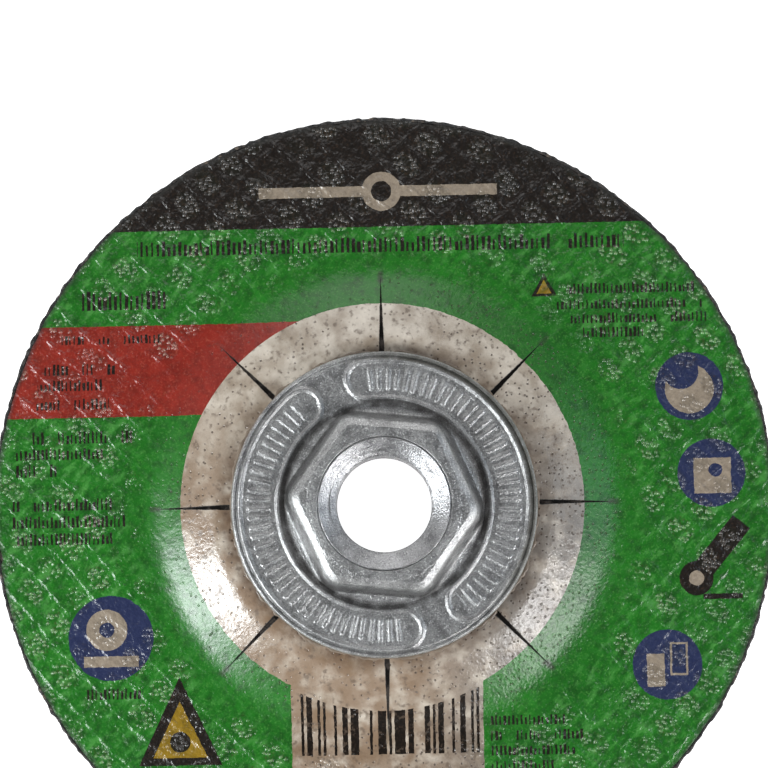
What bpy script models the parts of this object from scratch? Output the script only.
"""Depressed-centre grinding wheel with a threaded steel hub, for a 115 mm angle grinder.

The wheel lies on its grinding face. The origin is on the wheel's axis, in the plane of that face,
and +Z runs up the axis to the back of the hub, which meets the grinder. Each piece is one object.
"""

import math

import bmesh
import bpy

MM = 0.001  # every size below is in millimetres

# Wheel: 115 mm across, 6.35 mm (1/4 in) thick, dished upwards round the hub.
WHEEL_RADIUS = 57.5
WHEEL_THICKNESS = 6.35
WHEEL_BORE = 11.8
DISH_RISE = 4.6
CROWN_RADIUS = 23.3  # the flat centre of the dish ends here
SLOPE_ANGLE = math.radians(25)
CROWN_BLEND = 5.0  # radius between the crown and the slope
CROWN_BLEND_STEPS = 2
FOOT_BLEND = 10.0
FOOT_BLEND_STEPS = 3

# The pressed layers of the wheel, from the label down.
LAYER_GAP = 0.05
LABEL_THICKNESS = 0.15
NET_THICKNESS = 0.40
BACK_ABRASIVE_THICKNESS = 2.05
LABEL_RADIUS = 57.05
NET_RADIUS = 57.2
LIP_WIDTH = 0.9  # the front layer's own edge, which the wheel lies on

# The label is slit from its centre hole, so that the paper follows the dish.
SLIT_COUNT = 8
SLIT_END_RADIUS = 33.0
SLIT_WIDTH_AT_FLANGE = 0.7
SLIT_TURN = math.radians(1.3)

# Steel ring that lines the wheel's 22.2 mm (7/8 in) hole.
RING_BORE = 11.11
RING_SLEEVE = 11.5
RING_FLANGE_RADIUS = 15.0
RING_FLANGE_THICKNESS = 0.6

# Hub flange: a pressed steel shell with a hexagonal boss.
FLANGE_RADIUS = 22.2
FLANGE_TOP = 12.9
SHEET = 0.9
BOSS_TOP = 16.6
BOSS_HOLE = 9.65
BOSS_HALF_WIDTH = 10.95  # across the top, half of the distance between two flats
BOSS_SHOULDER_HALF_WIDTH = 11.9
BOSS_SHOULDER_DROP = 0.5
BOSS_FOOT_HALF_WIDTH = 12.75
VALLEY_RADIUS = 14.6
VALLEY_DEPTH = 0.45
GROOVE_RADIUS = 21.5
GROOVE_DEPTH = 0.2
HEX_TURN = math.radians(-4.6)
PANEL_RADIUS = 18.2  # centreline of the two curved raised outlines
PANEL_HALF_WIDTH = 2.75
PANEL_HALF_SPAN = math.radians(74)
PANEL_TURN = math.radians(24.9)
RIDGE_HEIGHT = 0.35
RIDGE_FOOT = 0.3  # how far the ridge is sunk into the flange
RIDGE_TOP_HALF_WIDTH = 0.15
RIDGE_FOOT_HALF_WIDTH = 0.4
PANEL_ARC_STEPS = 20
PANEL_END_STEPS = 6

# Hub nut: 5/8-11 UNC thread.
THREAD_MAJOR = 15.875 / 2
THREAD_MINOR = 6.95
THREAD_PITCH = 25.4 / 11
THREAD_STEPS = 32  # per turn
NUT_BOTTOM = 1.6
NUT_HALF_WIDTH = 10.0
NECK_RADIUS = 10.7
COLLAR_RADIUS = 14.0
COLLAR_THICKNESS = 0.5
NOSE_RADIUS = 9.5
SINK_SLOPE = math.radians(32)  # of the countersunk mouth, from the horizontal
STAKE_RADIUS = 12.2
STAKE_HEIGHT = 1.15
EDGE = 0.4  # chamfer of the nut's and washer's edges

# Front side: small reinforcing net and the washer that the neck is staked over.
CENTRE_NET_RADIUS = 22.5
CENTRE_NET_THICKNESS = 0.35
WASHER_RADIUS = 19.5
WASHER_HOLE = 10.9
WASHER_THICKNESS = 1.2
WASHER_BEARING_RADIUS = 17.4  # it touches the wheel outside this
WASHER_RELIEF = 0.2

SEGMENTS = 48

CROWN_TOP = WHEEL_THICKNESS + DISH_RISE


def clear_scene():
    for item in list(bpy.data.objects):
        bpy.data.objects.remove(item, do_unlink=True)


def make_material(name, colour, roughness, metallic=0.0):
    material = bpy.data.materials.new(name)
    material.use_nodes = True
    shader = material.node_tree.nodes["Principled BSDF"]
    shader.inputs["Base Color"].default_value = (*colour, 1.0)
    shader.inputs["Roughness"].default_value = roughness
    shader.inputs["Metallic"].default_value = metallic
    return material


def add_part(name, mesh_data, material=None):
    """Makes an object from a bmesh whose points are in millimetres."""
    bmesh.ops.scale(mesh_data, vec=(MM, MM, MM), verts=mesh_data.verts)
    bmesh.ops.recalc_face_normals(mesh_data, faces=mesh_data.faces)
    mesh = bpy.data.meshes.new(name)
    mesh_data.to_mesh(mesh)
    mesh_data.free()
    mesh.shade_smooth()
    mesh.set_sharp_from_angle(angle=math.radians(25))
    part = bpy.data.objects.new(name, mesh)
    bpy.context.collection.objects.link(part)
    if material:
        mesh.materials.append(material)
    return part


def hexagon_reach(angle, half_width, corner):
    """Distance from the centre to a hexagon with rounded corners, whose corners point at 0, 60, 120..."""
    from_corner = abs((angle + math.radians(30)) % math.radians(60) - math.radians(30))
    from_flat = math.radians(30) - from_corner
    flat_end = math.atan((half_width - corner) * math.tan(math.radians(30)) / half_width)
    if from_flat <= flat_end:
        return half_width / math.cos(from_flat)
    centre = (half_width - corner) / math.cos(math.radians(30))
    across = centre * math.sin(from_corner)
    return centre * math.cos(from_corner) + math.sqrt(corner**2 - across**2)


def round_ring(radius, height):
    """A circle is the hexagon whose corners are rounded all the way."""
    return radius, radius, height


def loft(name, rings, material, turn=0.0):
    """A closed ring-shaped solid, skinned through rings that run once round its section."""
    solid = bmesh.new()
    loops = []
    for half_width, corner, height in rings:
        loop = []
        for step in range(SEGMENTS):
            angle = math.tau * step / SEGMENTS
            reach = hexagon_reach(angle, half_width, corner)
            turned = angle + turn
            loop.append(solid.verts.new((reach * math.cos(turned), reach * math.sin(turned), height)))
        loops.append(loop)
    for lower, upper in zip(loops, loops[1:] + loops[:1]):
        for step in range(SEGMENTS):
            after = (step + 1) % SEGMENTS
            solid.faces.new((lower[step], lower[after], upper[after], upper[step]))
    return add_part(name, solid, material)


def cut(part, cutter, operation="DIFFERENCE"):
    cutter.hide_render = True
    cutter.display_type = "WIRE"
    modifier = part.modifiers.new(f"{operation.lower()}_{cutter.name}", "BOOLEAN")
    modifier.operation = operation
    modifier.solver = "EXACT"
    modifier.object = cutter


def blend_arc(radius, steps):
    """An arc that turns from flat to the slope's angle, as (run, drop)."""
    turns = [SLOPE_ANGLE * step / steps for step in range(steps + 1)]
    return [(radius * math.sin(turn), radius * (1 - math.cos(turn))) for turn in turns]


def dish_outline():
    """Section of the dish as (radius, rise above the rim), from the crown's edge to the outer flat."""
    crown_arc = blend_arc(CROWN_BLEND, CROWN_BLEND_STEPS)
    foot_arc = blend_arc(FOOT_BLEND, FOOT_BLEND_STEPS)
    crown_run, crown_drop = crown_arc[-1]
    foot_run, foot_drop = foot_arc[-1]
    slope_run = (DISH_RISE - crown_drop - foot_drop) / math.tan(SLOPE_ANGLE)
    foot_radius = CROWN_RADIUS + crown_run + slope_run + foot_run
    crown_side = [(CROWN_RADIUS + run, DISH_RISE - drop) for run, drop in crown_arc]
    rim_side = [(foot_radius - run, drop) for run, drop in reversed(foot_arc)]
    return crown_side + rim_side


def dished_layer(name, top, thickness, bore, radius, material, lip=0.0):
    """A layer of the wheel. Top is its height at the rim, and a lip hangs from its outer edge."""
    dish = dish_outline()
    rings = [round_ring(bore, top + DISH_RISE)]
    rings += [round_ring(at, top + rise) for at, rise in dish]
    rings.append(round_ring(radius, top))
    bottom = top - thickness
    if lip:
        rings.append(round_ring(radius, bottom - lip))
        rings.append(round_ring(radius - LIP_WIDTH, bottom - lip))
        rings.append(round_ring(radius - LIP_WIDTH, bottom))
    else:
        rings.append(round_ring(radius, bottom))
    rings += [round_ring(at, bottom + rise) for at, rise in reversed(dish)]
    rings.append(round_ring(bore, bottom + DISH_RISE))
    return loft(name, rings, material)


def slit_cutter(index, inner_radius):
    """A wedge that narrows from the label's centre hole to a point on the slope."""
    start = inner_radius - 1.0
    grow = (SLIT_END_RADIUS - start) / (SLIT_END_RADIUS - FLANGE_RADIUS)
    half_width = SLIT_WIDTH_AT_FLANGE * grow / 2
    angle = math.tau * index / SLIT_COUNT + SLIT_TURN
    along = (math.cos(angle), math.sin(angle))
    wedge = bmesh.new()
    corners = [(start, -half_width), (SLIT_END_RADIUS, 0.0), (start, half_width)]
    points = [(out * along[0] - side * along[1], out * along[1] + side * along[0]) for out, side in corners]
    base = wedge.faces.new([wedge.verts.new((x, y, WHEEL_THICKNESS)) for x, y in points])
    grown = bmesh.ops.extrude_face_region(wedge, geom=[base])["geom"]
    raised = [item for item in grown if isinstance(item, bmesh.types.BMVert)]
    bmesh.ops.translate(wedge, verts=raised, vec=(0, 0, 2 * DISH_RISE))
    return add_part(f"cutter_slit_{index}", wedge)


def make_wheel():
    """The laminate, from the printed label down to the net on the grinding face."""
    paper = make_material("printed_paper", (0.030, 0.190, 0.028), 0.45)
    glass = make_material("resin_glass_net", (0.075, 0.068, 0.060), 0.60)
    grit = make_material("bonded_abrasive", (0.022, 0.020, 0.019), 0.90)
    laid_back = RING_FLANGE_RADIUS + 0.3
    label = dished_layer("printed_label", WHEEL_THICKNESS, LABEL_THICKNESS, laid_back, LABEL_RADIUS, paper)
    for index in range(SLIT_COUNT):
        cut(label, slit_cutter(index, laid_back))
    top = WHEEL_THICKNESS - LABEL_THICKNESS - LAYER_GAP
    dished_layer("back_glass_net", top, NET_THICKNESS, laid_back, NET_RADIUS, glass)
    top -= NET_THICKNESS + LAYER_GAP
    dished_layer("back_abrasive", top, BACK_ABRASIVE_THICKNESS, WHEEL_BORE, WHEEL_RADIUS, grit)
    top -= BACK_ABRASIVE_THICKNESS + LAYER_GAP
    dished_layer("middle_glass_net", top, NET_THICKNESS, WHEEL_BORE, NET_RADIUS, glass)
    top -= NET_THICKNESS + LAYER_GAP
    lip = NET_THICKNESS + 2 * LAYER_GAP
    dished_layer("front_abrasive", top, top - lip, WHEEL_BORE, WHEEL_RADIUS, grit, lip)
    face_net_radius = WHEEL_RADIUS - LIP_WIDTH - LAYER_GAP
    dished_layer("front_glass_net", lip - LAYER_GAP, NET_THICKNESS, WHEEL_BORE, face_net_radius, glass)
    centre_top = DISH_RISE
    centre_bottom = centre_top - CENTRE_NET_THICKNESS
    disc = [
        round_ring(WHEEL_BORE, centre_bottom),
        round_ring(CENTRE_NET_RADIUS, centre_bottom),
        round_ring(CENTRE_NET_RADIUS, centre_top),
        round_ring(WHEEL_BORE, centre_top),
    ]
    loft("centre_glass_net", disc, glass)


def make_arbor_ring():
    """A sleeve through the wheel with a flange under the hub."""
    steel = make_material("ring_steel", (0.45, 0.45, 0.46), 0.45, 1.0)
    shoulder = CROWN_TOP - RING_FLANGE_THICKNESS
    foot = DISH_RISE
    rings = [
        round_ring(RING_BORE, foot),
        round_ring(RING_SLEEVE, foot),
        round_ring(RING_SLEEVE, shoulder),
        round_ring(RING_FLANGE_RADIUS, shoulder),
        round_ring(RING_FLANGE_RADIUS, CROWN_TOP),
        round_ring(RING_BORE, CROWN_TOP),
    ]
    loft("arbor_ring", rings, steel)


def panel_outline():
    """Plan of one raised outline: two arcs about the axis, joined by round ends, as (x, y, nx, ny)."""
    centres = []
    for side, facing in ((1, 0.0), (-1, math.pi)):
        for step in range(PANEL_ARC_STEPS):
            centres.append((side * PANEL_HALF_SPAN * (2 * step / PANEL_ARC_STEPS - 1), facing))
        for step in range(PANEL_END_STEPS):
            centres.append((side * PANEL_HALF_SPAN, facing + math.pi * step / PANEL_END_STEPS))
    outline = []
    for angle, facing in centres:
        normal = (math.cos(angle + facing), math.sin(angle + facing))
        x = PANEL_RADIUS * math.cos(angle) + PANEL_HALF_WIDTH * normal[0]
        y = PANEL_RADIUS * math.sin(angle) + PANEL_HALF_WIDTH * normal[1]
        outline.append((x, y, *normal))
    return outline


def panel_ridge(index):
    """The raised line round one panel, sunk into the flange so that the two join."""
    turn = PANEL_TURN + math.pi * index
    section = [
        (-RIDGE_FOOT_HALF_WIDTH, -RIDGE_FOOT),
        (-RIDGE_TOP_HALF_WIDTH, RIDGE_HEIGHT),
        (RIDGE_TOP_HALF_WIDTH, RIDGE_HEIGHT),
        (RIDGE_FOOT_HALF_WIDTH, -RIDGE_FOOT),
    ]
    ridge = bmesh.new()
    loops = []
    for x, y, nx, ny in panel_outline():
        loop = []
        for aside, rise in section:
            px = x + nx * aside
            py = y + ny * aside
            turned_x = px * math.cos(turn) - py * math.sin(turn)
            turned_y = px * math.sin(turn) + py * math.cos(turn)
            loop.append(ridge.verts.new((turned_x, turned_y, FLANGE_TOP + rise)))
        loops.append(loop)
    for here, there in zip(loops, loops[1:] + loops[:1]):
        for step in range(len(section)):
            after = (step + 1) % len(section)
            ridge.faces.new((here[step], here[after], there[after], there[step]))
    return add_part(f"ridge_{index}", ridge)


def make_hub_flange():
    """The pressed shell: hexagonal boss, valley round its foot, flat annulus and turned-down edge."""
    steel = make_material("flange_steel", (0.42, 0.42, 0.43), 0.38, 1.0)
    valley = FLANGE_TOP - VALLEY_DEPTH
    boss = [
        round_ring(BOSS_HOLE, BOSS_TOP),
        (BOSS_HALF_WIDTH - 0.2, 2.0, BOSS_TOP),
        (BOSS_HALF_WIDTH + 0.1, 2.1, BOSS_TOP - 0.08),
        (BOSS_SHOULDER_HALF_WIDTH, 2.6, BOSS_TOP - BOSS_SHOULDER_DROP),
        (BOSS_SHOULDER_HALF_WIDTH + 0.45, 2.9, BOSS_TOP - 3 * BOSS_SHOULDER_DROP),
        (BOSS_FOOT_HALF_WIDTH, 3.6, FLANGE_TOP + 0.3),
        (BOSS_FOOT_HALF_WIDTH + 0.4, 5.0, FLANGE_TOP - 0.25),
    ]
    annulus = [
        round_ring(VALLEY_RADIUS, valley),
        round_ring(VALLEY_RADIUS + 0.6, FLANGE_TOP),
        round_ring(GROOVE_RADIUS - 0.2, FLANGE_TOP),
        round_ring(GROOVE_RADIUS, FLANGE_TOP - GROOVE_DEPTH),
        round_ring(GROOVE_RADIUS + 0.25, FLANGE_TOP),
        round_ring(FLANGE_RADIUS - 0.2, FLANGE_TOP),
        round_ring(FLANGE_RADIUS, FLANGE_TOP - 0.2),
    ]
    foot = CROWN_TOP + LAYER_GAP
    underside = FLANGE_TOP - SHEET
    inside = [
        round_ring(FLANGE_RADIUS, foot),
        round_ring(FLANGE_RADIUS - SHEET, foot),
        round_ring(FLANGE_RADIUS - SHEET, underside),
        round_ring(VALLEY_RADIUS + 0.8, underside),
        round_ring(VALLEY_RADIUS, valley - SHEET),
        (BOSS_FOOT_HALF_WIDTH - 0.55, 4.0, underside - 0.15),
        (BOSS_FOOT_HALF_WIDTH - SHEET, 3.2, FLANGE_TOP + 0.2),
        (BOSS_SHOULDER_HALF_WIDTH - 0.35, 2.6, BOSS_TOP - 2 * SHEET),
        (BOSS_SHOULDER_HALF_WIDTH - 0.7, 2.3, BOSS_TOP - SHEET - 0.4),
        (BOSS_HALF_WIDTH - 0.35, 1.9, BOSS_TOP - SHEET),
        round_ring(BOSS_HOLE, BOSS_TOP - SHEET),
    ]
    flange = loft("hub_flange", boss + annulus + inside, steel, HEX_TURN)
    for index in range(2):
        cut(flange, panel_ridge(index), "UNION")


def thread_cutter():
    """The groove of a right-hand 60 degree thread, swept from below the nut to above the countersink."""
    inner = THREAD_MINOR - 0.4
    half_root = THREAD_PITCH / 16
    half_mouth = half_root + (THREAD_MAJOR - inner) * math.tan(math.radians(30))
    section = [
        (inner, -half_mouth),
        (THREAD_MAJOR, -half_root),
        (THREAD_MAJOR, half_root),
        (inner, half_mouth),
    ]
    start = NUT_BOTTOM - THREAD_PITCH / 2
    turns = (BOSS_TOP - start) / THREAD_PITCH
    groove = bmesh.new()
    loops = []
    for step in range(round(turns * THREAD_STEPS) + 1):
        angle = math.tau * step / THREAD_STEPS
        height = start + THREAD_PITCH * step / THREAD_STEPS
        loop = [groove.verts.new((r * math.cos(angle), r * math.sin(angle), height + z)) for r, z in section]
        loops.append(loop)
    for here, there in zip(loops, loops[1:]):
        for step in range(len(section)):
            after = (step + 1) % len(section)
            groove.faces.new((here[step], here[after], there[after], there[step]))
    groove.faces.new(loops[0])
    groove.faces.new(loops[-1])
    return add_part("cutter_thread", groove)


def make_hub_nut():
    """Hexagonal nut with a collar, a nose in the flange's hole, and a neck staked over the washer."""
    steel = make_material("nut_steel", (0.40, 0.40, 0.41), 0.32, 1.0)
    collar_foot = CROWN_TOP + LAYER_GAP
    collar_top = collar_foot + COLLAR_THICKNESS
    head_top = BOSS_TOP - SHEET - LAYER_GAP
    nose_top = BOSS_TOP - 0.1
    stake_top = NUT_BOTTOM + STAKE_HEIGHT
    sink_radius = NOSE_RADIUS - 0.15
    sink_depth = (sink_radius - THREAD_MINOR) * math.tan(SINK_SLOPE)
    rings = [
        round_ring(THREAD_MINOR + EDGE, NUT_BOTTOM),
        round_ring(STAKE_RADIUS - EDGE, NUT_BOTTOM),
        round_ring(STAKE_RADIUS, NUT_BOTTOM + EDGE),
        round_ring(STAKE_RADIUS, stake_top - EDGE),
        round_ring(NECK_RADIUS, stake_top),
        round_ring(NECK_RADIUS, collar_foot),
        round_ring(COLLAR_RADIUS, collar_foot),
        round_ring(COLLAR_RADIUS, collar_top),
        (NUT_HALF_WIDTH, 1.0, collar_top),
        (NUT_HALF_WIDTH, 1.0, head_top - 0.5),
        (NUT_HALF_WIDTH - 0.2, 1.2, head_top),
        round_ring(NOSE_RADIUS, head_top),
        round_ring(NOSE_RADIUS, nose_top - 0.1),
        round_ring(sink_radius, nose_top),
        round_ring(THREAD_MINOR, nose_top - sink_depth),
        round_ring(THREAD_MINOR, NUT_BOTTOM + EDGE),
    ]
    nut = loft("hub_nut", rings, steel, HEX_TURN)
    cut(nut, thread_cutter())


def make_front_washer():
    """A cupped washer that bears on the wheel at its edge."""
    steel = make_material("washer_steel", (0.42, 0.42, 0.43), 0.40, 1.0)
    top = DISH_RISE - CENTRE_NET_THICKNESS - LAYER_GAP
    bottom = top - WASHER_THICKNESS
    rings = [
        round_ring(WASHER_HOLE, bottom - WASHER_RELIEF),
        round_ring(WASHER_BEARING_RADIUS - 1.4, bottom - WASHER_RELIEF),
        round_ring(WASHER_BEARING_RADIUS - 0.4, bottom),
        round_ring(WASHER_RADIUS - EDGE, bottom),
        round_ring(WASHER_RADIUS, bottom + EDGE),
        round_ring(WASHER_RADIUS, top),
        round_ring(WASHER_BEARING_RADIUS, top),
        round_ring(WASHER_BEARING_RADIUS - 1.0, top - WASHER_RELIEF),
        round_ring(WASHER_HOLE, top - WASHER_RELIEF),
    ]
    loft("front_washer", rings, steel, HEX_TURN)


def make_adhesive():
    """The bond that fills the hollow under the flange."""
    resin = make_material("hub_resin", (0.16, 0.10, 0.05), 0.35)
    inner = 15.6
    outer = FLANGE_RADIUS - SHEET - 0.15
    low = CROWN_TOP + LAYER_GAP
    high = FLANGE_TOP - SHEET - 0.1
    rings = [round_ring(inner, low), round_ring(outer, low), round_ring(outer, high), round_ring(inner, high)]
    loft("hub_adhesive", rings, resin, HEX_TURN)


clear_scene()
make_wheel()
make_arbor_ring()
make_hub_flange()
make_hub_nut()
make_front_washer()
make_adhesive()
